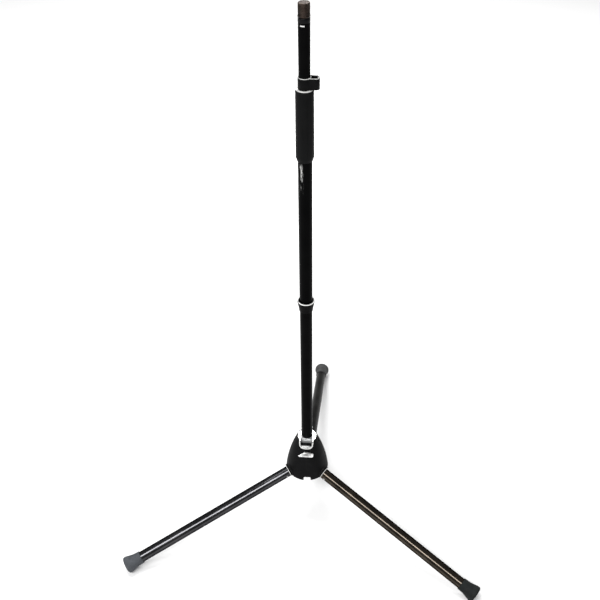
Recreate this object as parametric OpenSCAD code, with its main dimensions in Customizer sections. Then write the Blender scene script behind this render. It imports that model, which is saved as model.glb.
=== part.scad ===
// Straight microphone stand: folding tripod base, tilting shaft, telescopic rod with a twist clutch.
// +X is the viewer's right, -Y is the front, +Z is up. The feet stand on z = 0. Millimetres.

/* [Height] */
// Height of the thread's tip above the floor, with the rod down
stand_h = 1000; // [985:5:1015]
// Length of the sliding rod's tube
rod_l = 640; // [560:5:700]

/* [Shaft] */
// Outside diameter of the sliding rod
rod_d = 16; // [15.9:0.1:16.1]
// Outside diameter of the main tube
tube_d = 20.8; // [20.6:0.1:21]
// Outside diameter of the lower tube
lower_d = 20.2; // [20:0.1:20.4]
// Wall of the steel tubes
tube_wall = 1.2; // [1:0.1:1.3]
// Height of the flared collar's rim, where the two tubes meet
joint_z = 524; // [480:2:600]

/* [Thread] */
// Major diameter of the microphone thread (5/8 inch, 27 threads per inch)
thread_d = 15.88; // [15.8:0.01:15.9]
// Length of the thread
thread_l = 17; // [15:0.5:18]

/* [Clutch] */
// Length of the twist grip
grip_l = 107; // [100:1:120]
// Diameter of the grip near its foot
grip_d = 26.2; // [26:0.1:28]
// Height of the grip's top face
grip_top_z = 885.5; // [870:0.5:900]

/* [Cable clip] */
// Height of the clip's band
clip_h = 16; // [12:1:18]
// How far the cable loop reaches from the rod's axis
clip_reach = 20.5; // [19:0.5:24]

/* [Legs] */
// Outside diameter of a leg tube
leg_d = 20; // [19.8:0.1:20]
// Distance from the shaft's axis to the tip of a foot, along the floor
foot_reach = 371; // [330:1:400]
// Slope of the legs below the horizontal
leg_slope = 17.3; // [16.5:0.1:18]
// Diameter of a rubber foot at its widest
foot_d = 31; // [29:0.5:32]
// Length of a rubber foot
foot_l = 32; // [28:1:36]

/* [Hub] */
// Radius of the hub at its skirt
hub_r = 39.9; // [39:0.1:41]
// Height of the hub's top face
hub_top_z = 199; // [198:0.5:200]
// Height of the skirt's lower edge
skirt_z = 117.5; // [116:0.5:119]
// Furthest tilt of the shaft to the front
tilt_max = 50; // [0:1:50]

/* [Hidden] */
$fn = 96;

rear = 90;
left = 210;
right = 330;
legs = [rear, left, right];

// Fits
running_gap = 0.08;
clear_gap = 0.3;
washer_t = 0.7;

// The shaft's axis stands this far from the middle of the base, towards the front
axis_y = -88.4;

// Shaft
rod_r = rod_d / 2;
rod_bore = rod_r - tube_wall;
tube_r = tube_d / 2;
tube_bore = tube_r - tube_wall;
lower_r = lower_d / 2;
lower_bore = lower_r - tube_wall;
lower_tube_z = 202;
thread_z = stand_h - thread_l;
shoulder_h = 1.8;
relief_h = 1;
relief_r = 7.1;
stud_collar_h = 6;
rod_top_z = thread_z - shoulder_h - stud_collar_h;
rod_bottom_z = rod_top_z - rod_l;
stud_spigot_l = 28;
key_w = 5.8;
key_h = 1.6;
key_z = rod_top_z - 4;
key_azimuth = 259;
plug_l = 14;

// Flared collar, and the coupler in it
collar_l = 20;
collar_rim_r = 14.2;
collar_foot_r = 11.3;
collar_lip = 1.6;
collar_cup = 11;
butt_z = joint_z - collar_cup + 2;
coupler_l = 60;
coupler_bore = rod_r + clear_gap;

// Clutch
grip_r = grip_d / 2;
grip_top_r = grip_r - 0.4;
grip_ring_h = 1.6;
grip_ring_r = grip_top_r - 0.6;
grip_z = grip_top_z - grip_l;
grip_chamfer = 5;
grip_roof = 5;
cavity_r = 11.6;
socket_r = 11.3;
socket_l = 22;
cavity_z = grip_top_z - grip_ring_h - grip_roof;
tube_top_z = cavity_z - 12;
flange_h = 1.2;
collet_l = 10;
collet_r = 10.6;
collet_slit = 1.5;
guide_l = 46;

// Cable clip
clip_z = grip_top_z + 0.9;
clip_wall = 1.3;
clip_r = rod_r + clip_wall;
loop_w = 13;
loop_slit = 1.4;

// Legs: s is the distance along a leg's axis from the shaft's axis
leg_r = leg_d / 2;
foot_r = foot_d / 2;
foot_edge = 3;
foot_flat = 0.9;
foot_mouth_r = leg_r + 1.4;
foot_sole = 7;
foot_tip_s = foot_reach / cos(leg_slope);
foot_mouth_s = foot_tip_s - foot_l;
leg_meet_z = (foot_tip_s - foot_edge) * sin(leg_slope) + foot_r * cos(leg_slope) - foot_flat;
pin_s = 26.2;
leg_pin_r = 3;
pin_head_r = 4.6;
pin_head_h = 1.6;
eye_r = 9.5;
eye_w = 19.6;
leg_tube_s = pin_s + 10;
leg_plug_l = 26;
rivet_s = leg_tube_s + 12;
rivet_r = 1.8;

// Hub: its side follows an arc whose centre is at height hub_arc_z
hub_arc_r = 276.5;
hub_arc_z = 88.6;
hub_wall = 4;
web_z = 139;
web_h = 4;
post_r = 7;
post_z = 112;
pocket_w = 21.4;
cheek_t = 5.2;
cheek_r = 10;
cheek_relief = 0.2;
eye_room = 0.8;
boss_r = 13.4;
boss_s = 30;
liner_r = leg_r + clear_gap;
liner_t = 2.2;
liner_l = 2;
liner_drop = 2;
mouth_s = 41.1;
scallop_w = 13;
scallop_h = 8;
scallop_r = 2.5;
scallop_turn = 5;
cap_r = 13;
cap_h = 3;
screw_r = 2;

// Tilt joint
tilt_z = 189;
tilt_pin_r = 4;
tilt_pin_l = 39;
knuckle_r = 8;
knuckle_w = 19.4;
tilt_washer_r = 6.5;
knuckle_front = 11;
knuckle_plug_l = 38;
roll_pin_r = 2;
tilt_wall_x = 10.7;
tilt_wall_t = 3.4;
drum_r = 22;
drum_w = 8;
drum_margin = 7;
notch_z = 187;
notch_corner = 4;
bezel_t = 2.4;
bezel_h = 3;
bezel_r = 16.9;
bezel_y = -17.6;
bezel_arm_y = -9.5;
bezel_z = hub_top_z - bezel_h;
rim_edge = 0.8;

// Tilt lever: a cranked arm from a pin at the back of the hub to a pad outside its front
lever_pin_y = 18;
lever_z = 160;
lever_pin_r = 2.5;
lever_eye_r = 5;
lever_arm_w = 8;
lever_arm_h = 6;
pad_z = 180.5;
pad_t = 2.6;
pad_neck = [-4, 8];
pad_back = [-4, 14];
pad_front = [-13.5, 14.6];
pad_y = -36.5;
crank_y = -19.8;
pad_flare_y = -27.2;
window_x = [-5.2, 9.2];
window_z = [169.6, 183.4];
spring_y = -9;
spring_r = 3.2;
wire_r = 0.5;
spring_turns = 6;

// ---------- placing ----------

// Puts what is drawn about the shaft's axis in the part's frame
module placed() {
    translate([0, axis_y, 0]) children();
}

// Local frame of a leg: +X runs outwards along its axis, +Z is its upper side
module leg_frame(azimuth) {
    rotate([0, 0, azimuth]) translate([0, 0, leg_meet_z]) rotate([0, leg_slope, 0]) children();
}

// A cylinder along +X, from x0 to x1
module rod_x(r, x0, x1) {
    translate([x0, 0, 0]) rotate([0, 90, 0]) cylinder(r = r, h = x1 - x0);
}

// A cylinder along Y, from y0 to y1
module rod_y(r, y0, y1) {
    translate([0, y1, 0]) rotate([90, 0, 0]) cylinder(r = r, h = y1 - y0);
}

// A ring about Y, from y0 to y1
module ring_y(r, bore, y0, y1) {
    difference() {
        rod_y(r, y0, y1);
        rod_y(bore, y0 - 1, y1 + 1);
    }
}

// A ring about Z, from z0 to z1
module ring_z(r, bore, z0, z1) {
    translate([0, 0, z0]) difference() {
        cylinder(r = r, h = z1 - z0);
        translate([0, 0, -1]) cylinder(r = bore, h = z1 - z0 + 2);
    }
}

// ---------- hub ----------

// The solid within the hub's outside, taken in by inset, from z0 to z1
module ogive(inset, z0, z1) {
    arc_x = hub_r - sqrt(pow(hub_arc_r, 2) - pow(skirt_z - hub_arc_z, 2));
    rotate_extrude() intersection() {
        translate([arc_x, hub_arc_z]) circle(r = hub_arc_r - inset, $fn = 720);
        translate([0, z0]) square([hub_r + 4, z1 - z0]);
    }
}

// Front outline of the notch that the tube tilts into, grown by g
module notch_outline(g = 0) {
    w = tilt_wall_x + g;
    low = notch_z + bezel_t - g;
    c = notch_corner + g;
    translate([c - w, low]) square([2 * (w - c), 40]);
    translate([-w, low + c]) square([2 * w, 40]);
    for (side = [-1, 1])
        translate([side * (w - c), low + c]) circle(r = c);
}

module notch(g, y) {
    translate([0, y, 0]) rotate([90, 0, 0]) linear_extrude(height = 40) notch_outline(g);
}

// Room for the lining of the notch: its floor and corners, and an arm up each side
module lining_room() {
    notch(bezel_t, bezel_y);
    for (side = [-1, 1])
        translate([side * (tilt_wall_x + bezel_t / 2) - bezel_t / 2, -40, notch_z + bezel_t + notch_corner])
            cube([bezel_t, 40 + bezel_arm_y, 40]);
}

// The bored throat that the tube passes down through, open to the front
module throat(z0) {
    translate([0, 0, z0]) cylinder(r = tilt_wall_x, h = 40);
    translate([-tilt_wall_x, -40, max(z0, notch_z + bezel_t)]) cube([2 * tilt_wall_x, 40, 40]);
}

// Plates beside a leg's eye, hanging from the web
module cheeks(azimuth) {
    pin_z = leg_meet_z - pin_s * sin(leg_slope);
    pin_x = pin_s * cos(leg_slope);
    for (side = [-1, 1])
        rotate([0, 0, azimuth]) translate([0, side * (pocket_w + cheek_t) / 2, 0])
            rotate([90, 0, 0]) linear_extrude(height = cheek_t, center = true) {
                translate([pin_x, pin_z]) circle(r = cheek_r);
                translate([pin_x - cheek_r, pin_z]) square([2 * cheek_r, web_z + 1 - pin_z]);
            }
}

// Rounded notch in the skirt between two legs
module scallop(azimuth) {
    rotate([0, 0, azimuth]) translate([20, 0, skirt_z]) rotate([90, 0, 90]) linear_extrude(height = 40) {
        translate([-scallop_w / 2, -5]) square([scallop_w, scallop_h + 5 - scallop_r]);
        translate([scallop_r - scallop_w / 2, 0]) square([scallop_w - 2 * scallop_r, scallop_h]);
        for (side = [-1, 1])
            translate([side * (scallop_w / 2 - scallop_r), scallop_h - scallop_r]) circle(r = scallop_r);
    }
}

module hub_solid() {
    difference() {
        intersection() {
            ogive(0, skirt_z, hub_top_z);
            rounded_top();
        }
        ogive(hub_wall, skirt_z - 1, bezel_z - hub_wall);
    }
    ogive(1, web_z, web_z + web_h);
    intersection() {
        ogive(1, web_z, bezel_z);
        for (side = [-1, 1])
            translate([side * (tilt_wall_x + tilt_wall_t / 2) - tilt_wall_t / 2, -hub_r, web_z])
                cube([tilt_wall_t, 2 * hub_r, 60]);
    }
    translate([0, 0, post_z]) cylinder(r = post_r, h = web_z + 1 - post_z);
    intersection() {
        ogive(1, skirt_z - 10, web_z + 1);
        for (azimuth = legs)
            cheeks(azimuth);
    }
    intersection() {
        for (azimuth = legs)
            leg_frame(azimuth) rod_x(boss_r, boss_s, mouth_s);
        translate([0, 0, skirt_z]) cylinder(r = 60, h = 40);
    }
}

// Channel for a leg in its socket: round above, open below, of radius r from s0 outwards
module leg_channel(r, s0) {
    rod_x(r, s0, 60);
    translate([s0, -r, -40]) cube([60 - s0, 2 * r, 40]);
}

// Turned outline of the hub's top, with its rim's edge rounded
module rounded_top() {
    rim_r = hub_r - sqrt(pow(hub_arc_r, 2) - pow(skirt_z - hub_arc_z, 2))
        + sqrt(pow(hub_arc_r, 2) - pow(hub_top_z - hub_arc_z, 2));
    rotate_extrude() {
        square([rim_r - rim_edge, hub_top_z]);
        square([60, hub_top_z - rim_edge]);
        translate([rim_r - rim_edge, hub_top_z - rim_edge]) circle(r = rim_edge);
    }
}

module hub_cuts() {
    for (azimuth = legs) {
        leg_frame(azimuth) {
            leg_channel(liner_r, boss_s - 1);
            leg_channel(liner_r + liner_t, mouth_s - liner_l);
            translate([pin_s, 0, 0])
                rod_y(eye_r + eye_room, -pocket_w / 2 - cheek_relief, pocket_w / 2 + cheek_relief);
            translate([pin_s, 0, 0]) rod_y(leg_pin_r, -20, 20);
        }
        scallop(azimuth + 180 + scallop_turn);
    }
    translate([-tilt_wall_x, -tilt_wall_x, bezel_z - hub_wall - 1])
        cube([2 * tilt_wall_x, 2 * tilt_wall_x, 40]);
    translate([-tilt_wall_x, -40, notch_z + bezel_t]) cube([2 * tilt_wall_x, 40, 40]);
    translate([0, 0, bezel_z]) cylinder(r = bezel_r, h = 10);
    lining_room();
    translate([window_x[0], -40, window_z[0]])
        cube([window_x[1] - window_x[0], 40 + crank_y + 1.5, window_z[1] - window_z[0]]);
    translate([0, 0, tilt_z]) rod_x(tilt_pin_r, -30, 30);
    translate([0, lever_pin_y, lever_z]) rod_x(lever_pin_r, -tilt_wall_x - tilt_wall_t, 40);
    translate([0, 0, post_z - 1]) cylinder(r = screw_r, h = 17);
}

module hub_body() {
    color("#1b1b1c") placed() difference() {
        hub_solid();
        hub_cuts();
    }
}

// Bright top plate round the throat, with a lining down the notch's sides
module neck_bezel() {
    color("#c9c8c4") placed() {
        difference() {
            translate([0, 0, bezel_z]) cylinder(r = bezel_r, h = bezel_h);
            throat(bezel_z - 1);
        }
        intersection() {
            ogive(-0.4, notch_z - 1, hub_top_z);
            difference() {
                lining_room();
                notch(0, 0);
            }
        }
    }
}

// Bright arches in the mouths of the three leg sockets, on which the opened legs rest
module socket_liners() {
    s0 = mouth_s - liner_l;
    color("#b9b9b6") placed() for (azimuth = legs) leg_frame(azimuth) intersection() {
        difference() {
            leg_channel(liner_r + liner_t, s0);
            leg_channel(liner_r, s0 - 1);
        }
        translate([s0, -20, -liner_drop]) cube([liner_l, 40, 40]);
    }
}

module leg_pins() {
    color("#8f9091") placed() for (azimuth = legs) leg_frame(azimuth) translate([pin_s, 0, 0]) {
        rod_y(leg_pin_r, -pocket_w / 2 - cheek_t - pin_head_h, pocket_w / 2 + cheek_t + 2);
        rod_y(pin_head_r, -pocket_w / 2 - cheek_t - pin_head_h, -pocket_w / 2 - cheek_t);
    }
}

module leg_washers() {
    y0 = eye_w / 2 + (pocket_w / 2 - eye_w / 2 - washer_t) / 2;
    color("#cfcfca") placed() for (azimuth = legs) leg_frame(azimuth) translate([pin_s, 0, 0]) {
        ring_y(7, leg_pin_r, y0, y0 + washer_t);
        ring_y(7, leg_pin_r, -y0 - washer_t, -y0);
    }
}

module leg_pin_clips() {
    y0 = pocket_w / 2 + cheek_t + 0.1;
    color("#6f7072") placed() for (azimuth = legs) leg_frame(azimuth) translate([pin_s, 0, 0])
        difference() {
            ring_y(pin_head_r + 0.4, leg_pin_r, y0, y0 + 1);
            translate([0, y0 - 1, -1.6]) cube([8, 3, 3.2]);
        }
}

module hub_bottom_cap() {
    color("#161617") placed() difference() {
        translate([0, 0, post_z - cap_h]) cylinder(r1 = cap_r - 1, r2 = cap_r, h = cap_h);
        translate([0, 0, post_z - cap_h - 1]) cylinder(r = screw_r, h = cap_h + 2);
    }
}

module hub_cap_screw() {
    head_h = 2.2;
    color("#9a9b9c") placed() difference() {
        union() {
            translate([0, 0, post_z - cap_h]) cylinder(r = screw_r, h = 15);
            translate([0, 0, post_z - cap_h - head_h]) cylinder(r1 = 3, r2 = 4.2, h = head_h);
        }
        for (turn = [0, 90])
            rotate([0, 0, turn]) translate([-2.2, -0.45, post_z - cap_h - head_h - 1]) cube([4.4, 0.9, 2.2]);
    }
}

// ---------- tilt joint and its lever ----------

module tilt_pin() {
    color("#8f9091") placed() translate([0, 0, tilt_z])
        rod_x(tilt_pin_r, -tilt_pin_l / 2, tilt_pin_l / 2);
}

module tilt_washers() {
    x0 = knuckle_w / 2 + (tilt_wall_x - knuckle_w / 2 - washer_t) / 2;
    color("#cfcfca") placed() translate([0, 0, tilt_z]) rotate([0, 0, 90]) {
        ring_y(tilt_washer_r, tilt_pin_r, x0, x0 + washer_t);
        ring_y(tilt_washer_r, tilt_pin_r, -x0 - washer_t, -x0);
    }
}

module lever_pin() {
    color("#8f9091") placed() translate([0, lever_pin_y, lever_z])
        rod_x(lever_pin_r, -tilt_wall_x - tilt_wall_t, tilt_wall_x + tilt_wall_t);
}

// Round wire wound in a helix: its level section is a lens bent round the coil's axis
module lever_spring() {
    height = lever_z - lever_arm_h / 2 - web_z - web_h - 2 * wire_r;
    half_turn = 360 * wire_r * spring_turns / height;
    steps = [-1 : 0.25 : 1];
    thick = [for (k = steps) wire_r * sqrt(max(0.02, 1 - k * k))];
    count = len(thick);
    outer = [for (i = [0 : count - 1]) let(a = half_turn * (i * 0.25 - 1))
        [cos(a), sin(a)] * (spring_r + thick[i])];
    inner = [for (i = [count - 1 : -1 : 0]) let(a = half_turn * (i * 0.25 - 1))
        [cos(a), sin(a)] * (spring_r - thick[i])];
    color("#b5b6b8") placed() translate([0, spring_y, web_z + web_h + wire_r])
        linear_extrude(height = height, twist = -360 * spring_turns, slices = 12 * spring_turns, $fn = 6)
            polygon(concat(outer, inner));
}

// Side view of the lever's arm, its eye, the brake shoe under the drum, and the crank
module lever_side() {
    translate([lever_pin_y, lever_z]) circle(r = lever_eye_r);
    translate([crank_y - pad_t, lever_z - lever_arm_h / 2])
        square([lever_pin_y - crank_y + pad_t, lever_arm_h]);
    difference() {
        translate([-6, lever_z]) square([12, 10]);
        translate([0, tilt_z]) circle(r = drum_r + clear_gap);
    }
}

module tilt_lever() {
    color("#d3d3d0") placed() {
        difference() {
            rotate([90, 0, 90]) linear_extrude(height = lever_arm_w, center = true) lever_side();
            translate([0, lever_pin_y, lever_z]) rod_x(lever_pin_r + running_gap, -10, 10);
        }
        translate([pad_neck[0], crank_y - pad_t, lever_z - lever_arm_h / 2])
            cube([pad_neck[1] - pad_neck[0], pad_t, pad_z + pad_t / 2 - lever_z + lever_arm_h / 2]);
        translate([0, 0, pad_z - pad_t / 2]) linear_extrude(height = pad_t) polygon([
            [pad_neck[0], crank_y - pad_t / 2], [pad_neck[1], crank_y - pad_t / 2],
            [pad_neck[1], pad_flare_y], [pad_back[1], pad_flare_y - 0.5], [pad_front[1], pad_y + 2.5],
            [pad_front[1] - 1.5, pad_y + 0.6], [0, pad_y], [pad_front[0] + 2, pad_y],
            [pad_front[0], pad_y + 1.5], [pad_back[0], pad_flare_y]
        ]);
    }
}

// ---------- legs ----------

module leg_tube(azimuth) {
    color("#161617") placed() leg_frame(azimuth) difference() {
        rod_x(leg_r, leg_tube_s, foot_tip_s - foot_sole);
        rod_x(leg_r - tube_wall, leg_tube_s - 1, foot_tip_s);
        translate([rivet_s, 0, 0]) rod_y(rivet_r, -20, 20);
    }
}

module leg_eye(azimuth) {
    color("#4a4b4d") placed() leg_frame(azimuth) difference() {
        union() {
            translate([pin_s, 0, 0]) rod_y(eye_r, -eye_w / 2, eye_w / 2);
            intersection() {
                rod_x(leg_r - 0.2, pin_s, leg_tube_s);
                translate([pin_s, -eye_w / 2, -20]) cube([20, eye_w, 40]);
            }
            rod_x(leg_r - tube_wall, leg_tube_s, leg_tube_s + leg_plug_l);
        }
        translate([pin_s, 0, 0]) rod_y(leg_pin_r + running_gap, -20, 20);
        translate([rivet_s, 0, 0]) rod_y(rivet_r, -20, 20);
    }
}

module leg_rivet(azimuth) {
    color("#2b2b2d") placed() leg_frame(azimuth) translate([rivet_s, 0, 0])
        rod_y(rivet_r, -leg_r - 0.3, leg_r + 0.3);
}

// Rubber foot: pushed over the tube's end, widening to a rounded tread with a flat worn on it
module foot(azimuth) {
    color("#4b4d50") placed() intersection() {
        leg_frame(azimuth) translate([foot_mouth_s, 0, 0]) rotate([0, 90, 0]) rotate_extrude() {
            polygon([
                [leg_r, 0], [foot_mouth_r - 0.5, 0], [foot_mouth_r, 0.6], [foot_mouth_r + 0.6, 12],
                [foot_r - 0.9, foot_l - foot_edge - 6], [foot_r, foot_l - foot_edge - 3],
                [foot_r, foot_l - foot_edge], [leg_r, foot_l - foot_edge]
            ]);
            translate([0, foot_l - foot_sole]) square([leg_r + 0.1, foot_sole]);
            translate([leg_r, foot_l - foot_sole]) square([foot_r - foot_edge - leg_r, foot_sole]);
            translate([foot_r - foot_edge, foot_l - foot_edge]) circle(r = foot_edge);
        }
        translate([-500, -500, 0]) cube([1000, 1000, 200]);
    }
}

module leg_tube_rear() { leg_tube(rear); }
module leg_tube_left() { leg_tube(left); }
module leg_tube_right() { leg_tube(right); }
module leg_eye_rear() { leg_eye(rear); }
module leg_eye_left() { leg_eye(left); }
module leg_eye_right() { leg_eye(right); }
module leg_rivet_rear() { leg_rivet(rear); }
module leg_rivet_left() { leg_rivet(left); }
module leg_rivet_right() { leg_rivet(right); }
module foot_rear() { foot(rear); }
module foot_left() { foot(left); }
module foot_right() { foot(right); }

// ---------- shaft ----------

// Side view of the knuckle: a block under the tube, round at its foot
module knuckle_side() {
    translate([0, tilt_z]) circle(r = knuckle_r);
    translate([-knuckle_front, tilt_z - 5]) square([knuckle_front + 2, lower_tube_z - tilt_z + 5]);
    translate([-2, tilt_z]) square([2 + lower_r, lower_tube_z - tilt_z]);
}

// Side view of the brake drum: a sector that stays over the lever's shoe at any tilt
module drum_side() {
    a0 = -90 - tilt_max - drum_margin;
    a1 = -90 + drum_margin + 8;
    translate([0, tilt_z]) intersection() {
        circle(r = drum_r);
        polygon([
            [0, 0], 40 * [cos(a0), sin(a0)], 40 * [cos((a0 + a1) / 2), sin((a0 + a1) / 2)],
            40 * [cos(a1), sin(a1)]
        ]);
    }
}

module tilt_knuckle() {
    color("#7d7f80") placed() difference() {
        union() {
            intersection() {
                rotate([90, 0, 90]) linear_extrude(height = knuckle_w, center = true) knuckle_side();
                union() {
                    cylinder(r = lower_r, h = lower_tube_z);
                    translate([-20, -40, 0]) cube([40, 40, lower_tube_z]);
                    translate([-20, -40, 0]) cube([40, 80, tilt_z + 1]);
                }
            }
            rotate([90, 0, 90]) linear_extrude(height = drum_w, center = true) drum_side();
            translate([0, 0, lower_tube_z]) cylinder(r = lower_bore, h = knuckle_plug_l);
        }
        translate([0, 0, tilt_z]) rod_x(tilt_pin_r + running_gap, -20, 20);
        translate([0, 0, lower_tube_z + 20]) rod_x(roll_pin_r, -20, 20);
    }
}

module knuckle_roll_pin() {
    color("#2b2b2d") placed() translate([0, 0, lower_tube_z + 20])
        rod_x(roll_pin_r, -lower_r - 0.3, lower_r + 0.3);
}

module lower_tube() {
    color("#151516") placed() difference() {
        ring_z(lower_r, lower_bore, lower_tube_z, butt_z);
        translate([0, 0, lower_tube_z + 20]) rod_x(roll_pin_r, -20, 20);
    }
}

module joint_coupler() {
    color("#8f9091") placed() {
        ring_z(lower_bore, coupler_bore, butt_z - coupler_l / 2, butt_z);
        ring_z(tube_bore, coupler_bore, butt_z, butt_z + coupler_l / 2);
    }
}

// Flared cup on the lower tube, open round the main tube's foot
module joint_collar() {
    color("#232324") placed() translate([0, 0, joint_z - collar_l]) rotate_extrude() polygon([
        [lower_r, 0], [collar_foot_r - 0.4, 0], [collar_foot_r, 0.5], [collar_foot_r + 0.5, 6],
        [collar_rim_r - 0.5, collar_l - 5], [collar_rim_r, collar_l - 2.5],
        [collar_rim_r, collar_l - 0.3], [collar_rim_r - 0.3, collar_l],
        [collar_rim_r - collar_lip, collar_l], [collar_rim_r - collar_lip - 0.6, collar_l - 6],
        [lower_r + 1, collar_l - collar_cup], [lower_r, collar_l - collar_cup]
    ]);
}

module main_tube() {
    color("#151516") placed() ring_z(tube_r, tube_bore, butt_z, tube_top_z);
}

module guide_bush() {
    color("#d8d6cf") placed() {
        ring_z(tube_bore, rod_r + running_gap, tube_top_z - guide_l, tube_top_z);
        ring_z(tube_r, rod_r + running_gap, tube_top_z, tube_top_z + flange_h);
    }
}

module clutch_socket() {
    color("#9c9d9e") placed() ring_z(socket_r, tube_r, tube_top_z - socket_l, tube_top_z);
}

module clutch_collet() {
    z0 = tube_top_z + flange_h + 0.2;
    color("#e4e1d8") placed() difference() {
        translate([0, 0, z0]) cylinder(r1 = collet_r, r2 = collet_r - 0.9, h = collet_l);
        translate([0, 0, z0 - 1]) cylinder(r = rod_r + running_gap, h = collet_l + 2);
        translate([0, -collet_slit / 2, z0 - 1]) cube([20, collet_slit, collet_l + 2]);
    }
}

module clutch_grip() {
    top = grip_top_z - grip_ring_h;
    color("#2b2c2d") placed() difference() {
        rotate_extrude() polygon([
            [0, grip_z], [tube_r + 0.8, grip_z], [grip_r - 0.6, grip_z + grip_chamfer - 0.6],
            [grip_r, grip_z + grip_chamfer + 0.6], [grip_top_r, top - 0.8], [grip_ring_r, top], [0, top]
        ]);
        translate([0, 0, grip_z - 1]) cylinder(r = tube_r + clear_gap, h = grip_l);
        translate([0, 0, tube_top_z - socket_l - 3])
            cylinder(r = cavity_r, h = cavity_z - tube_top_z + socket_l + 3);
    }
}

module grip_top_ring() {
    color("#c4c4c1") placed() ring_z(grip_ring_r, rod_r + clear_gap, grip_top_z - grip_ring_h, grip_top_z);
}

// ---------- rod ----------

// Room for the key that is staked through the rod's wall into the stud
module key_room() {
    rotate([0, 0, key_azimuth]) translate([0, -key_w / 2, key_z]) cube([20, key_w, key_h]);
}

module upper_rod() {
    color("#121213") placed() difference() {
        ring_z(rod_r, rod_bore, rod_bottom_z, rod_top_z);
        key_room();
    }
}

module rod_end_plug() {
    color("#202021") placed() {
        translate([0, 0, rod_bottom_z]) cylinder(r = rod_bore, h = plug_l);
        translate([0, 0, rod_bottom_z - 2]) cylinder(r1 = rod_r - 1, r2 = rod_r, h = 2);
    }
}

module stud_key() {
    color("#c9c8c4") placed() intersection() {
        ring_z(rod_r, rod_bore, key_z - 1, key_z + key_h + 1);
        key_room();
    }
}

module stud_collar() {
    color("#1a1a1b") placed() translate([0, 0, rod_top_z]) rotate_extrude() polygon([
        [rod_bore, 0], [rod_r - 0.2, 0], [rod_r + 0.1, 0.3], [rod_r + 0.1, stud_collar_h - 0.5],
        [rod_r - 0.3, stud_collar_h], [rod_bore, stud_collar_h]
    ]);
}

// The thread is drawn as a plain cylinder at its major diameter, above a relief groove
module thread_stud() {
    chamfer = 0.8;
    z0 = thread_z - shoulder_h;
    color("#a39c90") placed() {
        translate([0, 0, thread_z]) cylinder(r = relief_r, h = relief_h);
        translate([0, 0, thread_z + relief_h])
            cylinder(r = thread_d / 2, h = thread_l - chamfer - relief_h);
        translate([0, 0, stand_h - chamfer])
            cylinder(r1 = thread_d / 2, r2 = thread_d / 2 - chamfer, h = chamfer);
        translate([0, 0, z0]) cylinder(r = rod_r + 0.3, h = shoulder_h);
        translate([0, 0, rod_top_z - stud_spigot_l]) cylinder(r = rod_bore, h = z0 - rod_top_z + stud_spigot_l);
    }
}

// Plan of the loop beside the band, grown by g
module loop_plan(g) {
    w = loop_w / 2 - clip_wall + g;
    c = 3.6 + g;
    end = clip_reach - clip_wall + g;
    square([end - c, 2 * w], center = false);
    translate([0, c]) square([end, 2 * (w - c)]);
    for (y = [c, 2 * w - c])
        translate([end - c, y]) circle(r = c);
}

module cable_clip() {
    half = loop_w / 2;
    color("#0f0f10") placed() translate([0, 0, clip_z]) difference() {
        linear_extrude(height = clip_h) difference() {
            union() {
                circle(r = clip_r);
                translate([0, -half]) loop_plan(clip_wall);
            }
            difference() {
                translate([0, clip_wall - half]) loop_plan(0);
                circle(r = clip_r);
            }
            translate([clip_reach - 4.4, half - 4]) rotate([0, 0, 45]) square([8, loop_slit]);
        }
        translate([0, 0, -1]) cylinder(r = rod_r + running_gap, h = clip_h + 2);
    }
}

hub_body();
neck_bezel();
socket_liners();
leg_pins();
leg_washers();
leg_pin_clips();
hub_bottom_cap();
hub_cap_screw();
tilt_pin();
tilt_washers();
lever_pin();
lever_spring();
tilt_lever();
leg_tube_rear();
leg_tube_left();
leg_tube_right();
leg_eye_rear();
leg_eye_left();
leg_eye_right();
leg_rivet_rear();
leg_rivet_left();
leg_rivet_right();
foot_rear();
foot_left();
foot_right();
tilt_knuckle();
knuckle_roll_pin();
lower_tube();
joint_coupler();
joint_collar();
main_tube();
guide_bush();
clutch_socket();
clutch_collet();
clutch_grip();
grip_top_ring();
upper_rod();
rod_end_plug();
stud_key();
stud_collar();
thread_stud();
cable_clip();
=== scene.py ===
"""Straight microphone stand on a folding tripod base: looks, floor, lights and camera."""
import math

import bmesh
import bpy
from mathutils import Matrix, Vector


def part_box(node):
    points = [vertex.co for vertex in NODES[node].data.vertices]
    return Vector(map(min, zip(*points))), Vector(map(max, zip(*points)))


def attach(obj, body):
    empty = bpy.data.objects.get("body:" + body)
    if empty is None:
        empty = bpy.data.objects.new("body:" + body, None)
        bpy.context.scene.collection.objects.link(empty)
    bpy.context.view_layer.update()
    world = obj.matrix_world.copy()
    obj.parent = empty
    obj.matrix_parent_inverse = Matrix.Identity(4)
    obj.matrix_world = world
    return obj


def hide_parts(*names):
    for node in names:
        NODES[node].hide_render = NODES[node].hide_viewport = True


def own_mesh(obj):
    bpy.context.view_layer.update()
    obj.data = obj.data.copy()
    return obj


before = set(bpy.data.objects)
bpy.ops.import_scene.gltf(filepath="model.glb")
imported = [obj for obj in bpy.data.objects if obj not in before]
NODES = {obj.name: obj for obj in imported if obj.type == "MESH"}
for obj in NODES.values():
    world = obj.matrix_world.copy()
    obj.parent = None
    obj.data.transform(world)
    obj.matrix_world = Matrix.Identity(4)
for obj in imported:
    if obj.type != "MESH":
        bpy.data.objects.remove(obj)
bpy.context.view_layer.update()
MM = 0.001


def centre(node):
    """Middle of a CAD node's box."""
    low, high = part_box(node)
    return (low + high) / 2


SHAFT = centre("upper_rod")
SHAFT_X, SHAFT_Y = SHAFT.x, SHAFT.y
LEG_SLOPE = math.radians(17.3)
LEGS_MEET = 0.12856          # height on the shaft's axis where the legs' axes cross
LEG_AZIMUTHS = (90, 210, 330)


# ---------- mesh helpers ----------

def add_object(name, mesh, smooth=True):
    obj = bpy.data.objects.new(name, mesh)
    bpy.context.scene.collection.objects.link(obj)
    for face in mesh.polygons:
        face.use_smooth = smooth
    return obj


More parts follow.
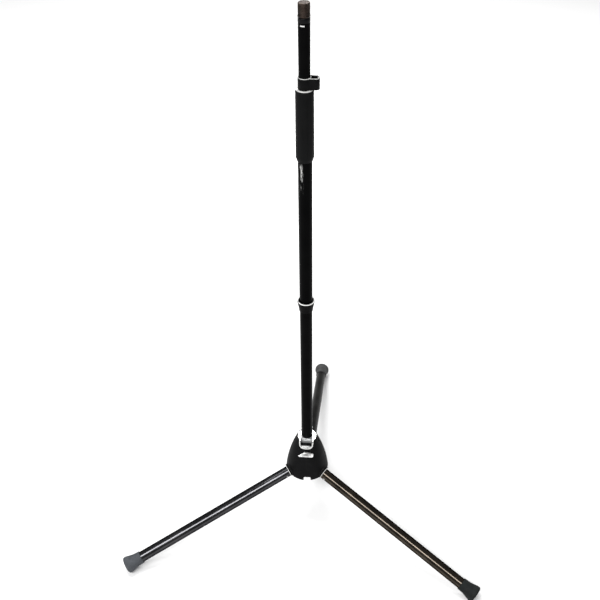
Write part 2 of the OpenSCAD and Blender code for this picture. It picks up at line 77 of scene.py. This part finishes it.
def lathe(name, outline, place, segments=96, wave=None):
    """A closed solid turned about Z from (radius, height) points in metres, then put in place.
    wave(angle, radius, height) may give each point a radius of its own."""
    mesh = bpy.data.meshes.new(name)
    bm = bmesh.new()
    rings = []
    for radius, height in outline:
        if radius < 1e-7:
            rings.append([bm.verts.new((0, 0, height))])
            continue
        ring = []
        for k in range(segments):
            angle = 2 * math.pi * k / segments
            r = wave(angle, radius, height) if wave else radius
            ring.append(bm.verts.new((r * math.cos(angle), r * math.sin(angle), height)))
        rings.append(ring)
    for i, ring in enumerate(rings):
        following = rings[(i + 1) % len(rings)]
        if len(ring) == 1 and len(following) == 1:
            continue
        for k in range(segments):
            n = (k + 1) % segments
            corners = [ring[k % len(ring)], ring[n % len(ring)],
                       following[n % len(following)], following[k % len(following)]]
            unique = list(dict.fromkeys(corners))
            bm.faces.new(unique)
    bmesh.ops.recalc_face_normals(bm, faces=bm.faces)
    bm.transform(place)
    bm.to_mesh(mesh)
    bm.free()
    return add_object(name, mesh)


def finish_piece(piece, body, slot, *nodes):
    """Rides the piece on its body and hides the CAD nodes that it stands for."""
    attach(piece, body)
    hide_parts(*nodes)


def on_shaft():
    """Places a turned piece on the shaft's axis."""
    return Matrix.Translation((SHAFT_X, SHAFT_Y, 0))


def soften(node, width):
    """Rounds a CAD node's hard edges with modifiers; its mesh stays as it is."""
    obj = NODES[node]
    weld = obj.modifiers.new("weld", "WELD")
    weld.merge_threshold = 1e-6
    flat = obj.modifiers.new("flatten", "DECIMATE")
    flat.decimate_type = "DISSOLVE"
    flat.angle_limit = math.radians(0.5)
    bevel = obj.modifiers.new("bevel", "BEVEL")
    bevel.width = width
    bevel.segments = 2
    bevel.limit_method = "ANGLE"
    bevel.angle_limit = math.radians(35)
    bevel.harden_normals = True


# ---------- materials ----------

class Shade:
    """A Principled material and short calls for the nodes that vary it."""

    def __init__(self, name, **values):
        self.mat = bpy.data.materials.new(name)
        self.mat.use_nodes = True
        self.tree = self.mat.node_tree
        self.bsdf = self.tree.nodes["Principled BSDF"]
        for key, value in values.items():
            self.bsdf.inputs[key.replace("_", " ")].default_value = value
        self.coords = self.tree.nodes.new("ShaderNodeTexCoord").outputs["Object"]

    def link(self, a, b):
        self.tree.links.new(a, b)

    def put(self, name, socket):
        self.link(socket, self.bsdf.inputs[name])

    def feed(self, socket, value):
        if isinstance(value, (int, float)):
            socket.default_value = value
        elif isinstance(value, tuple):
            socket.default_value = (*value, 1.0) if len(value) == 3 else value
        else:
            self.link(value, socket)

    def noise(self, scale, detail=4.0, roughness=0.55, stretch=(1, 1, 1), turn=(0, 0, 0)):
        mapping = self.tree.nodes.new("ShaderNodeMapping")
        mapping.inputs["Scale"].default_value = stretch
        mapping.inputs["Rotation"].default_value = turn
        self.link(self.coords, mapping.inputs["Vector"])
        node = self.tree.nodes.new("ShaderNodeTexNoise")
        node.inputs["Scale"].default_value = scale
        node.inputs["Detail"].default_value = detail
        node.inputs["Roughness"].default_value = roughness
        self.link(mapping.outputs["Vector"], node.inputs["Vector"])
        return node.outputs["Fac"]

    def cells(self, scale):
        node = self.tree.nodes.new("ShaderNodeTexVoronoi")
        node.inputs["Scale"].default_value = scale
        self.link(self.coords, node.inputs["Vector"])
        return node.outputs["Distance"]

    def vector(self, operation, a, b=None):
        node = self.tree.nodes.new("ShaderNodeVectorMath")
        node.operation = operation
        self.link(a, node.inputs[0])
        if b is not None:
            node.inputs[1].default_value = b
        return node

    def spread(self, value, low, high, to_low=0.0, to_high=1.0):
        node = self.tree.nodes.new("ShaderNodeMapRange")
        node.clamp = True
        self.feed(node.inputs["Value"], value)
        node.inputs["From Min"].default_value = low
        node.inputs["From Max"].default_value = high
        node.inputs["To Min"].default_value = to_low
        node.inputs["To Max"].default_value = to_high
        return node.outputs["Result"]

    def calc(self, operation, a, b=0.0):
        node = self.tree.nodes.new("ShaderNodeMath")
        node.operation = operation
        self.feed(node.inputs[0], a)
        self.feed(node.inputs[1], b)
        return node.outputs[0]

    def blend(self, amount, a, b):
        node = self.tree.nodes.new("ShaderNodeMix")
        node.data_type = "RGBA"
        self.feed(node.inputs[0], amount)
        self.feed(node.inputs[6], a)
        self.feed(node.inputs[7], b)
        return node.outputs[2]

    def bump(self, height, distance, strength=1.0, under=None):
        node = self.tree.nodes.new("ShaderNodeBump")
        node.inputs["Distance"].default_value = distance
        node.inputs["Strength"].default_value = strength
        self.link(height, node.inputs["Height"])
        if under is not None:
            self.link(under, node.inputs["Normal"])
        return node.outputs["Normal"]

    def axis(self, name):
        node = self.tree.nodes.new("ShaderNodeSeparateXYZ")
        self.link(self.coords, node.inputs[0])
        return node.outputs[name]

    def edges(self, radius, low=0.02, high=0.25):
        """1 on outside edges and 0 on flats."""
        bevel = self.tree.nodes.new("ShaderNodeBevel")
        bevel.samples = 4
        bevel.inputs["Radius"].default_value = radius
        true = self.tree.nodes.new("ShaderNodeNewGeometry")
        dot = self.tree.nodes.new("ShaderNodeVectorMath")
        dot.operation = "DOT_PRODUCT"
        self.link(bevel.outputs["Normal"], dot.inputs[0])
        self.link(true.outputs["Normal"], dot.inputs[1])
        return self.spread(self.calc("SUBTRACT", 1.0, dot.outputs["Value"]), low, high)


SHAFT_DARK = (0.0006, 0.0006, 0.0007)
SHAFT_LIGHT = (0.0014, 0.0014, 0.0015)
SHAFT_SPECULAR = 0.015


def tube_paint(name, dark, light, rough, scuff, dust=(0.16, 0.155, 0.15), spec=0.3, shine=0.0):
    """Black paint on a steel tube: mottled, finely scratched along and round the tube, and dusty."""
    s = Shade(name, Specular_IOR_Level=spec, Metallic=shine)
    if shine:
        s.bsdf.inputs["Specular Tint"].default_value = (0.05, 0.05, 0.05, 1.0)
    cloud = s.noise(38.0, 5.0)
    grain = s.noise(900.0, 3.0)
    around = s.noise(240.0, 6.0, 0.65, stretch=(1, 1, 7), turn=(0.12, 0.05, 0))
    along = s.noise(260.0, 6.0, 0.7, stretch=(1, 1, 0.08), turn=(0.07, -0.05, 0))
    scratch = s.calc("MAXIMUM", s.spread(around, 0.69, 0.76), s.spread(along, 0.7, 0.78))
    patch = s.spread(s.noise(13.0, 3.0), 0.5, 0.68)
    pale_mark = s.calc("MULTIPLY", s.calc("MULTIPLY", scratch, patch), scuff)
    film = s.spread(s.noise(21.0, 6.0, 0.7), 0.42, 0.8, 0.0, 0.10 * scuff)
    base = s.blend(s.spread(cloud, 0.35, 0.65), dark, light)
    base = s.blend(film, base, dust)
    base = s.blend(pale_mark, base, dust)
    s.put("Base Color", base)
    s.put("Roughness", s.calc("ADD", s.spread(cloud, 0.3, 0.7, rough - 0.05, rough + 0.07),
                              s.calc("MULTIPLY", pale_mark, 0.25)))
    fine = s.bump(grain, 0.00001, 0.5)
    s.put("Normal", s.bump(scratch, 0.00003, 0.4, fine))
    return s.mat


def shaft_paint():
    """The sliding rod's and the tubes' satin paint."""
    return tube_paint("shaft_paint", SHAFT_DARK, SHAFT_LIGHT, 0.34, 0.4,
                      dust=(0.03, 0.03, 0.028), spec=SHAFT_SPECULAR)


def main_tube_paint():
    """The shaft's paint, with the pale scuffs that the grip's clutch left on the tube under it."""
    s = Shade("main_tube_paint", Specular_IOR_Level=SHAFT_SPECULAR)
    cloud = s.noise(38.0, 5.0)
    grip_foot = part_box("clutch_grip")[0].z
    height = s.axis("Z")
    fade_low, full_low, full_high, fade_high = 0.052, 0.030, 0.008, 0.001
    near = s.calc("MULTIPLY", s.spread(height, grip_foot - fade_low, grip_foot - full_low),
                  s.spread(height, grip_foot - fade_high, grip_foot - full_high))
    side = s.spread(s.axis("X"), SHAFT_X - 0.0005, SHAFT_X - 0.0045)
    front = s.spread(s.axis("Y"), SHAFT_Y, SHAFT_Y - 0.004)
    streak = s.spread(s.noise(230.0, 6.0, 0.75, stretch=(1, 1, 0.16), turn=(0.25, 0.2, 0)), 0.53, 0.6)
    scuff = s.calc("MULTIPLY", s.calc("MULTIPLY", near, streak), s.calc("MULTIPLY", side, front))
    fine = s.noise(260.0, 6.0, 0.7, stretch=(1, 1, 0.08), turn=(0.07, -0.05, 0))
    scratch = s.calc("MULTIPLY", s.spread(fine, 0.68, 0.76), s.spread(s.noise(11.0, 3.0), 0.48, 0.66, 0, 0.5))
    base = s.blend(s.spread(cloud, 0.35, 0.65), SHAFT_DARK, SHAFT_LIGHT)
    base = s.blend(scratch, base, (0.03, 0.03, 0.03))
    base = s.blend(scuff, base, (0.42, 0.42, 0.41))
    s.put("Base Color", base)
    s.put("Roughness", s.calc("ADD", s.spread(cloud, 0.3, 0.7, 0.29, 0.41), s.calc("MULTIPLY", scuff, 0.3)))
    s.put("Normal", s.bump(s.noise(900.0, 3.0), 0.00001, 0.5))
    return s.mat


def casting_paint():
    """Matte black paint over a die casting: fine orange peel, with edges rubbed paler."""
    s = Shade("casting_paint", Specular_IOR_Level=0.05)
    peel = s.noise(520.0, 3.0, 0.6)
    cloud = s.noise(45.0, 5.0)
    edge = s.calc("MULTIPLY", s.edges(0.0009), s.spread(s.noise(150.0, 5.0, 0.7), 0.4, 0.62))
    base = s.blend(s.spread(cloud, 0.3, 0.7), (0.0018, 0.0018, 0.002), (0.0042, 0.0042, 0.0045))
    base = s.blend(s.spread(s.noise(70.0, 7.0, 0.75), 0.56, 0.8, 0.0, 0.06), base, (0.1, 0.098, 0.095))
    base = s.blend(edge, base, (0.13, 0.13, 0.13))
    for azimuth in LEG_AZIMUTHS:
        base = s.blend(socket_mouth(s, math.radians(azimuth)), base, (0.62, 0.62, 0.6))
    s.put("Base Color", base)
    s.put("Roughness", s.spread(cloud, 0.3, 0.7, 0.5, 0.66))
    s.put("Normal", s.bump(peel, 0.00012, 0.5))
    return s.mat


def socket_mouth(s, azimuth):
    """1 on the rubbed end of a leg's socket: past a distance along the leg and close to its axis."""
    along = (math.cos(azimuth) * math.cos(LEG_SLOPE), math.sin(azimuth) * math.cos(LEG_SLOPE),
             -math.sin(LEG_SLOPE))
    offset = s.vector("SUBTRACT", s.coords, (SHAFT_X, SHAFT_Y, LEGS_MEET)).outputs["Vector"]
    far = s.vector("DOT_PRODUCT", offset, along).outputs["Value"]
    reach = s.vector("LENGTH", offset).outputs["Value"]
    away = s.calc("SQRT", s.calc("MAXIMUM", s.calc("SUBTRACT", s.calc("MULTIPLY", reach, reach),
                                                   s.calc("MULTIPLY", far, far)), 0.0))
    rub_start, rub_full = 0.0403, 0.0406
    outside, inside = 0.0138, 0.0135
    return s.calc("MULTIPLY", s.spread(far, rub_start, rub_full), s.spread(away, outside, inside))


def metal(name, dark, light, rough, grain=(1, 1, 1), pits=0.0, stain=None, shine=1.0, shade_band=None):
    """Metal with drifting tone, fine directional grain, and pits or stains where asked for.
    The last argument, if given, is an axis and two places on it: a patchy painted shade darkens the metal
    from the first place to the second."""
    s = Shade(name, Metallic=shine)
    cloud = s.noise(60.0, 6.0, 0.6)
    lines = s.noise(700.0, 4.0, 0.6, stretch=grain)
    base = s.blend(s.spread(cloud, 0.32, 0.68), dark, light)
    if stain:
        base = s.blend(s.spread(s.noise(170.0, 6.0, 0.7), 0.5, 0.68, 0.0, 0.75), base, stain)
    if shade_band:
        # Painted shade: a patchy dark band along the given axis, for a part that lies in shadow.
        axis, start, end = shade_band
        patchy = s.spread(s.noise(300.0, 5.0, 0.7), 0.3, 0.5, 0.75, 1.0)
        shade_mask = s.calc("MULTIPLY", s.spread(s.axis(axis), start, end), patchy)
        base = s.blend(shade_mask, base, (0.012, 0.012, 0.012))
    s.put("Base Color", base)
    s.put("Roughness", s.calc("ADD", s.spread(cloud, 0.3, 0.7, rough - 0.06, rough + 0.1),
                              s.spread(lines, 0.35, 0.65, 0.0, 0.08)))
    normal = s.bump(lines, 0.00002, 0.35)
    if pits:
        normal = s.bump(s.spread(s.cells(420.0), 0.05, 0.3), pits, 0.6, normal)
    s.put("Normal", normal)
    return s.mat


def plastic(name, dark, light, rough, texture=0.00006, scale=1400.0, spec=0.4, edge=(0.12, 0.12, 0.12),
            rim=None, rim_highlight_width=0.0007, rim_highlight_tone=(0.5, 0.5, 0.49)):
    """Moulded plastic: sparked texture, slow drift in gloss, and paler rubbed edges.
    rim is the height of an upper edge that carries a painted highlight, a pale band along it."""
    s = Shade(name, Specular_IOR_Level=spec)
    cloud = s.noise(55.0, 5.0)
    spark = s.noise(scale, 2.0, 0.6)
    rub = s.calc("MULTIPLY", s.edges(0.0007), s.spread(s.noise(210.0, 5.0, 0.7), 0.45, 0.65, 0.0, 0.7))
    base = s.blend(s.spread(cloud, 0.3, 0.7), dark, light)
    base = s.blend(rub, base, edge)
    if rim is not None:
        # Painted highlight: a pale band along the upper edge, where light catches it.
        pale_mark = s.calc("MULTIPLY", s.spread(s.axis("Z"), rim - rim_highlight_width, rim - rim_highlight_width * 0.7),
                      s.spread(s.noise(90.0, 4.0), 0.3, 0.5, 0.35, 1.0))
        base = s.blend(pale_mark, base, rim_highlight_tone)
    s.put("Base Color", base)
    s.put("Roughness", s.spread(cloud, 0.3, 0.7, rough - 0.06, rough + 0.08))
    s.put("Normal", s.bump(spark, texture, 0.5))
    return s.mat


def rubber(name, dark, light, dust):
    """Worn rubber: chalky bloom, scuffed towards the floor, with a fine pitted skin."""
    s = Shade(name, Specular_IOR_Level=0.14)
    cloud = s.noise(70.0, 6.0, 0.65)
    bloom = s.spread(s.noise(160.0, 7.0, 0.75), 0.42, 0.72)
    low = s.spread(s.axis("Z"), 0.022, 0.002, 0.1, 0.8)
    base = s.blend(s.spread(cloud, 0.3, 0.7), dark, light)
    base = s.blend(s.calc("MULTIPLY", bloom, low), base, dust)
    s.put("Base Color", base)
    s.put("Roughness", s.spread(cloud, 0.3, 0.7, 0.62, 0.82))
    skin = s.bump(s.noise(1100.0, 3.0, 0.6), 0.00008, 0.5)
    s.put("Normal", s.bump(s.cells(330.0), 0.00006, 0.35, skin))
    return s.mat


def paint_nodes(material, *nodes):
    for node in nodes:
        obj = NODES[node]
        obj.data.materials.clear()
        obj.data.materials.append(material)


def paint_piece(material, piece):
    piece.data.materials.clear()
    piece.data.materials.append(material)


LEGS = ("rear", "left", "right")

SHAFT_PAINT = shaft_paint()
TUBE_PAINT = main_tube_paint()
# Lit and shaded copies of one black paint: each leg's colour is tuned to how that leg is lit. The right leg's
# brown tint, dust included, is a painted reflection of a warm floor.
LEG_PAINT_AS_LIT = {
    "left": tube_paint("leg_paint_left_as_lit", (0.034, 0.034, 0.036), (0.054, 0.054, 0.057), 0.17, 0.3, shine=1.0),
    "right": tube_paint("leg_paint_right_as_lit", (0.03, 0.026, 0.022), (0.056, 0.047, 0.038), 0.17, 0.5,
                        (0.2, 0.15, 0.1), shine=1.0),
    "rear": tube_paint("leg_paint_rear_as_lit", (0.0014, 0.0014, 0.0014), (0.004, 0.004, 0.004), 0.34, 1.0,
                       (0.1, 0.1, 0.09), spec=0.05),
}
CASTING = casting_paint()
TRIM = metal("bright_trim", (0.62, 0.62, 0.61), (0.82, 0.82, 0.8), 0.22)
# The grip ring, the joint collar and the cable clip get a painted highlight along their top edges.
RING = plastic("grip_ring", (0.004, 0.004, 0.0042), (0.008, 0.008, 0.0085), 0.4, spec=0.2,
               rim=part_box("grip_top_ring")[1].z, rim_highlight_width=0.0005)
# Painted shade on the knuckle's lower part, in the dark gap above the hub's lining. It goes by height alone,
# so the leg eyes get it too.
ZINC = metal("raw_zinc", (0.3, 0.305, 0.31), (0.46, 0.465, 0.47), 0.45, pits=0.00003, shine=0.75,
             shade_band=("Z", 0.1912, 0.1898))
PIN_STEEL = metal("pin_steel", (0.24, 0.24, 0.245), (0.4, 0.4, 0.4), 0.3)
# Painted shade on the lever's back part, the neck that lies in shadow under the bezel.
LEVER_STEEL = metal("lever_steel", (0.34, 0.34, 0.34), (0.68, 0.68, 0.67), 0.28, grain=(0.1, 1, 1),
                    shade_band=("Y", SHAFT_Y - 0.0276, SHAFT_Y - 0.0262))
THREAD_STEEL = metal("thread_steel", (0.004, 0.003, 0.0025), (0.08, 0.062, 0.052), 0.4,
                     stain=(0.012, 0.004, 0.0025))
GRIP = plastic("grip_plastic", (0.0018, 0.0019, 0.002), (0.0034, 0.0035, 0.0037), 0.55, 0.00012, 900.0, 0.05)
BLACK = plastic("black_plastic", (0.0014, 0.0014, 0.0016), (0.0034, 0.0034, 0.0036), 0.36, spec=0.08)
COLLAR = plastic("collar_plastic", (0.0014, 0.0014, 0.0015), (0.003, 0.003, 0.0032), 0.4, spec=0.02,
                 edge=(0.008, 0.008, 0.008), rim=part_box("joint_collar")[1].z, rim_highlight_width=0.0011,
                 rim_highlight_tone=(0.6, 0.6, 0.59))
CLIP = plastic("clip_plastic", (0.0012, 0.0012, 0.0013), (0.003, 0.003, 0.0032), 0.38, spec=0.04,
               edge=(0.02, 0.02, 0.02), rim=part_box("cable_clip")[1].z, rim_highlight_width=0.0006,
               rim_highlight_tone=(0.42, 0.42, 0.41))
NYLON = plastic("pale_nylon", (0.52, 0.5, 0.45), (0.66, 0.64, 0.58), 0.45, edge=(0.75, 0.73, 0.68))
# Lit and shaded copies of one rubber: each foot's colour is tuned to how that foot is lit.
RUBBER_AS_LIT = {
    "left": rubber("rubber_left_as_lit", (0.03, 0.033, 0.037), (0.06, 0.065, 0.072), (0.19, 0.2, 0.22)),
    "right": rubber("rubber_right_as_lit", (0.002, 0.003, 0.003), (0.008, 0.01, 0.01), (0.05, 0.05, 0.047)),
    "rear": rubber("rubber_rear_as_lit", (0.02, 0.02, 0.021), (0.055, 0.055, 0.055), (0.18, 0.18, 0.175)),
}

paint_nodes(CASTING, "hub_body")
paint_nodes(TRIM, "neck_bezel", "socket_liners", "stud_key")
paint_nodes(RING, "grip_top_ring")
paint_nodes(LEVER_STEEL, "tilt_lever")
paint_nodes(ZINC, "tilt_knuckle", "clutch_socket", "leg_eye_rear", "leg_eye_left", "leg_eye_right")
paint_nodes(PIN_STEEL, "leg_pins", "leg_pin_clips", "tilt_pin", "lever_pin", "lever_spring", "hub_cap_screw",
            "joint_coupler", "knuckle_roll_pin", "leg_rivet_rear", "leg_rivet_left", "leg_rivet_right")
paint_nodes(NYLON, "leg_washers", "tilt_washers", "guide_bush", "clutch_collet")
paint_nodes(BLACK, "stud_collar", "rod_end_plug", "hub_bottom_cap")
paint_nodes(COLLAR, "joint_collar")
paint_nodes(CLIP, "cable_clip")
paint_nodes(GRIP, "clutch_grip")
paint_nodes(SHAFT_PAINT, "upper_rod", "lower_tube")
paint_nodes(TUBE_PAINT, "main_tube")
paint_nodes(THREAD_STEEL, "thread_stud")
for leg in LEGS:
    paint_nodes(LEG_PAINT_AS_LIT[leg], "leg_tube_" + leg)
    paint_nodes(RUBBER_AS_LIT[leg], "foot_" + leg)


# ---------- pieces ----------

def screw_thread():
    """The stud over the rod's end with its helical thread cut, where the CAD has a plain cylinder."""
    low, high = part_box("thread_stud")
    length = 16.0 * MM
    major, pitch, depth = 7.94 * MM, 0.9407 * MM, 0.62 * MM
    base, top = high.z - length, high.z
    steps_per_turn = 8
    core, flange, relief, tip = 6.8 * MM, 8.25 * MM, 7.1 * MM, 6.6 * MM
    groove = 1.0 * MM

    flank, lead_length, lead_depth = 2.6, 0.9 * MM, 0.75 * MM

    def cut(angle, radius, height):
        if abs(radius - major) > 0.01 * MM or height < base + 1.2 * MM:
            return radius
        phase = (height / pitch - angle / (2 * math.pi)) % 1.0
        ridge = min(abs(phase - 0.5) * flank, 1.0)
        lead = min(1.0, (top - height) / lead_length)
        return major - depth * (1.0 - ridge) - lead_depth * (1.0 - lead)

    outline = [(0, low.z), (core, low.z), (core, base - 1.8 * MM), (flange, base - 1.8 * MM),
               (flange, base - 0.3 * MM), (7.95 * MM, base), (relief, base), (relief, base + groove)]
    count = int((length - groove) / pitch * steps_per_turn)
    for k in range(count + 1):
        outline.append((major, base + groove + (length - groove) * k / count))
    outline += [(tip, top), (0, top)]
    stud = lathe("stud_thread", outline, on_shaft(), 96, cut)
    finish_piece(stud, "rod", "bare_steel", "thread_stud")
    paint_piece(THREAD_STEEL, stud)


def coil_spring():
    """The lever's return spring as round wire."""
    low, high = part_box("lever_spring")
    middle = (low + high) / 2
    coil = 3.2 * MM
    wire = (high.x - low.x) / 2 - coil
    turns, per_turn, sides = 6, 32, 10
    count = turns * per_turn
    mesh = bpy.data.meshes.new("return_spring")
    bm = bmesh.new()
    rings = []
    for i in range(count + 1):
        angle = 2 * math.pi * i / per_turn
        radial = Vector((math.cos(angle), math.sin(angle), 0))
        height = low.z + wire + (high.z - low.z - 2 * wire) * i / count
        path = Vector((middle.x, middle.y, height)) + radial * coil
        rings.append([bm.verts.new(path + wire * (radial * math.cos(2 * math.pi * k / sides)
                                                  + Vector((0, 0, math.sin(2 * math.pi * k / sides)))))
                      for k in range(sides)])
    for ring, following in zip(rings, rings[1:]):
        for k in range(sides):
            n = (k + 1) % sides
            bm.faces.new([ring[k], ring[n], following[n], following[k]])
    bm.faces.new(rings[0])
    bm.faces.new(rings[-1])
    bmesh.ops.recalc_face_normals(bm, faces=bm.faces)
    bm.to_mesh(mesh)
    bm.free()
    spring = add_object("return_spring", mesh)
    finish_piece(spring, "hub", "steel_pin", "lever_spring")
    paint_piece(PIN_STEEL, spring)
    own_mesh(spring)


screw_thread()
coil_spring()

# Bevel widths in millimetres.
EDGES = {
    "hub_body": 0.7, "neck_bezel": 0.35, "tilt_lever": 0.7, "tilt_knuckle": 0.5, "clutch_grip": 0.8,
    "joint_collar": 0.4, "cable_clip": 0.3, "grip_top_ring": 0.35, "stud_collar": 0.4, "clutch_socket": 0.3,
    "hub_bottom_cap": 0.5, "hub_cap_screw": 0.2, "leg_eye_rear": 0.5, "leg_eye_left": 0.5,
    "leg_eye_right": 0.5, "foot_rear": 0.9, "foot_left": 0.9, "foot_right": 0.9, "leg_pins": 0.3,
}
for node, width in EDGES.items():
    soften(node, width * MM)


# ---------- stage, lights and camera ----------

def floor():
    """The stage floor: white paper, painted darker round the stand to take down the lamps' bright spot there,
    so that shadows show.
    """
    size = 14.0
    mesh = bpy.data.meshes.new("floor")
    corners = [(-size, -size, 0), (size, -size, 0), (size, size, 0), (-size, size, 0)]
    mesh.from_pydata(corners, [], [(0, 1, 2, 3)])
    obj = add_object("floor", mesh, smooth=False)
    s = Shade("floor_paper", Specular_IOR_Level=0.0, Roughness=0.9)
    distance_squared = s.calc("ADD", s.calc("POWER", s.axis("X"), 2.0), s.calc("POWER", s.axis("Y"), 2.0))
    near, far = 0.12, 1.3
    # Painted shade: the paper is darker near the stand, where the lamps fall brightest.
    paper = s.blend(s.spread(distance_squared, near, far), (0.7, 0.7, 0.7), (0.95, 0.95, 0.95))
    s.put("Base Color", s.blend(s.spread(s.noise(3.0, 3.0), 0.3, 0.7, 0.0, 0.03), paper, (0.8, 0.8, 0.8)))
    obj.data.materials.append(s.mat)


def softbox(name, at, look_at, width, height, power):
    data = bpy.data.lights.new(name, "AREA")
    data.shape = "RECTANGLE"
    data.size = width
    data.size_y = height
    data.energy = power
    obj = bpy.data.objects.new(name, data)
    bpy.context.scene.collection.objects.link(obj)
    obj.location = at
    obj.rotation_euler = (Vector(look_at) - Vector(at)).to_track_quat("-Z", "Y").to_euler()


def lights():
    world = bpy.data.worlds.new("studio")
    bpy.context.scene.world = world
    world.use_nodes = True
    background = world.node_tree.nodes["Background"]
    background.inputs["Color"].default_value = (1, 1, 1, 1)
    background.inputs["Strength"].default_value = 0.36
    softbox("top_box", (-0.8, 0.6, 3.6), (0, 0.4, 0), 1.2, 1.2, 75)
    softbox("key_strip", (-0.7, -2.1, 2.9), (0, 0, 0.1), 3.2, 0.7, 150)
    softbox("back_strip", (0.2, 2.1, 2.4), (0, 0, 0.2), 2.4, 0.2, 45)


def camera():
    """The photograph's camera: where it stands, how far down and aside it looks, and its field of view."""
    down = math.radians(39.12)
    aside = math.radians(-6.22)
    roll = math.radians(-0.76)
    data = bpy.data.cameras.new("camera")
    data.sensor_width = 36.0
    data.lens = 48.67
    obj = bpy.data.objects.new("camera", data)
    bpy.context.scene.collection.objects.link(obj)
    forward = Vector((math.sin(aside) * math.cos(down), math.cos(aside) * math.cos(down), -math.sin(down)))
    right = Vector((math.cos(aside), -math.sin(aside), 0))
    up = right.cross(forward)
    right, up = (right * math.cos(roll) + up * math.sin(roll), up * math.cos(roll) - right * math.sin(roll))
    turn = Matrix((right, up, -forward)).transposed().to_4x4()
    to_the_side, in_front, height = 0.1001, 1.0079, 1.3476
    obj.matrix_world = Matrix.Translation((SHAFT_X + to_the_side, SHAFT_Y - in_front, height)) @ turn
    bpy.context.scene.camera = obj


floor()
lights()
camera()
bpy.context.scene.view_settings.view_transform = "Standard"
